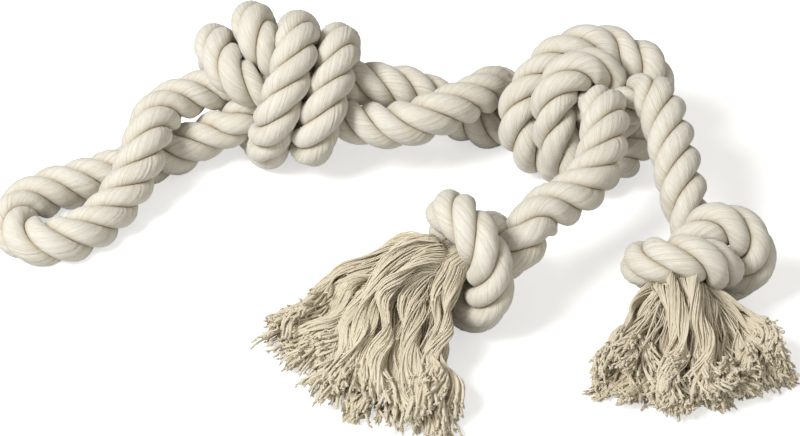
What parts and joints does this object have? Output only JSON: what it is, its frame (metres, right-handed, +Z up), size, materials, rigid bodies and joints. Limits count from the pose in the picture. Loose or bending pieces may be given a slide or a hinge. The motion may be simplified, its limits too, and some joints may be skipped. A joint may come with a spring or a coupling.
{
  "type": "rope dog toy",
  "caption": "Twisted cotton rope tug toy for a dog, folded into a handle loop and tied in big doubled knots, with knotted legs that end in frayed tassels.",
  "frame": {"origin": "on the floor under the lowest rope of the handle knot, at the middle of the flat where it rests", "axes": "+X from the handle loop towards the leg knot, +Y away from the tassels, +Z up from the floor"},
  "size_m": [0.4518, 0.2891, 0.0892],
  "materials": {
    "rope_cotton": "matte undyed cotton, three-strand laid rope",
    "tassel_cotton": "matte undyed cotton yarn, opened out"
  },
  "bodies": {
    "handle_knot": {"handle_knot_left_strand_1": "rope_cotton", "handle_knot_left_strand_2": "rope_cotton", "handle_knot_left_strand_3": "rope_cotton", "handle_knot_right_strand_1": "rope_cotton", "handle_knot_right_strand_2": "rope_cotton", "handle_knot_right_strand_3": "rope_cotton"},
    "handle": {"handle_loop_strand_1": "rope_cotton", "handle_loop_strand_2": "rope_cotton", "handle_loop_strand_3": "rope_cotton"},
    "leg_knot": {"leg_knot_inner_strand_1": "rope_cotton", "leg_knot_inner_strand_2": "rope_cotton", "leg_knot_inner_strand_3": "rope_cotton", "leg_knot_outer_strand_1": "rope_cotton", "leg_knot_outer_strand_2": "rope_cotton", "leg_knot_outer_strand_3": "rope_cotton", "front_span_strand_1": "rope_cotton", "front_span_strand_2": "rope_cotton", "front_span_strand_3": "rope_cotton", "back_span_strand_1": "rope_cotton", "back_span_strand_2": "rope_cotton", "back_span_strand_3": "rope_cotton"},
    "left_end": {"left_end_knot_strand_1": "rope_cotton", "left_end_knot_strand_2": "rope_cotton", "left_end_knot_strand_3": "rope_cotton", "left_leg_strand_1": "rope_cotton", "left_leg_strand_2": "rope_cotton", "left_leg_strand_3": "rope_cotton"},
    "right_end": {"right_end_knot_strand_1": "rope_cotton", "right_end_knot_strand_2": "rope_cotton", "right_end_knot_strand_3": "rope_cotton", "right_leg_strand_1": "rope_cotton", "right_leg_strand_2": "rope_cotton", "right_leg_strand_3": "rope_cotton"},
    "left_tassel": {"left_tassel_lock_1": "tassel_cotton", "left_tassel_lock_2": "tassel_cotton", "left_tassel_lock_3": "tassel_cotton"},
    "right_tassel": {"right_tassel_lock_1": "tassel_cotton", "right_tassel_lock_2": "tassel_cotton", "right_tassel_lock_3": "tassel_cotton"}
  },
  "joints": [
    {"name": "handle_lift", "type": "hinge", "parent": "handle_knot", "child": "handle", "pos_m": [-0.036, -0.002, 0.03], "axis": [-0.6816, 0.7317, 0], "range_deg": [0, 50], "deforming": ["handle_loop_strand_1", "handle_loop_strand_2", "handle_loop_strand_3"]},
    {"name": "span_bend", "type": "hinge", "parent": "handle_knot", "child": "leg_knot", "pos_m": [0.105, 0.004, 0.03], "axis": [0, 0, 1], "range_deg": [-12, 12], "deforming": ["front_span_strand_1", "front_span_strand_2", "front_span_strand_3", "back_span_strand_1", "back_span_strand_2", "back_span_strand_3"]},
    {"name": "left_leg_swing", "type": "hinge", "parent": "leg_knot", "child": "left_end", "pos_m": [0.192, -0.045, 0.055], "axis": [0, 0, 1], "range_deg": [-20, 8], "deforming": ["left_leg_strand_1", "left_leg_strand_2", "left_leg_strand_3"]},
    {"name": "right_leg_swing", "type": "hinge", "parent": "leg_knot", "child": "right_end", "pos_m": [0.224, -0.032, 0.055], "axis": [0, 0, 1], "range_deg": [-8, 30], "deforming": ["right_leg_strand_1", "right_leg_strand_2", "right_leg_strand_3"]},
    {"name": "left_tassel_lift", "type": "hinge", "parent": "left_end", "child": "left_tassel", "pos_m": [0.1097, -0.1479, 0.0386], "axis": [-0.7852, 0.6192, 0], "range_deg": [0, 35], "deforming": ["left_tassel_lock_1", "left_tassel_lock_2", "left_tassel_lock_3"]},
    {"name": "right_tassel_lift", "type": "hinge", "parent": "right_end", "child": "right_tassel", "pos_m": [0.2341, -0.1508, 0.0237], "axis": [-0.9955, -0.095, 0], "range_deg": [0, 35], "deforming": ["right_tassel_lock_1", "right_tassel_lock_2", "right_tassel_lock_3"]}
  ]
}
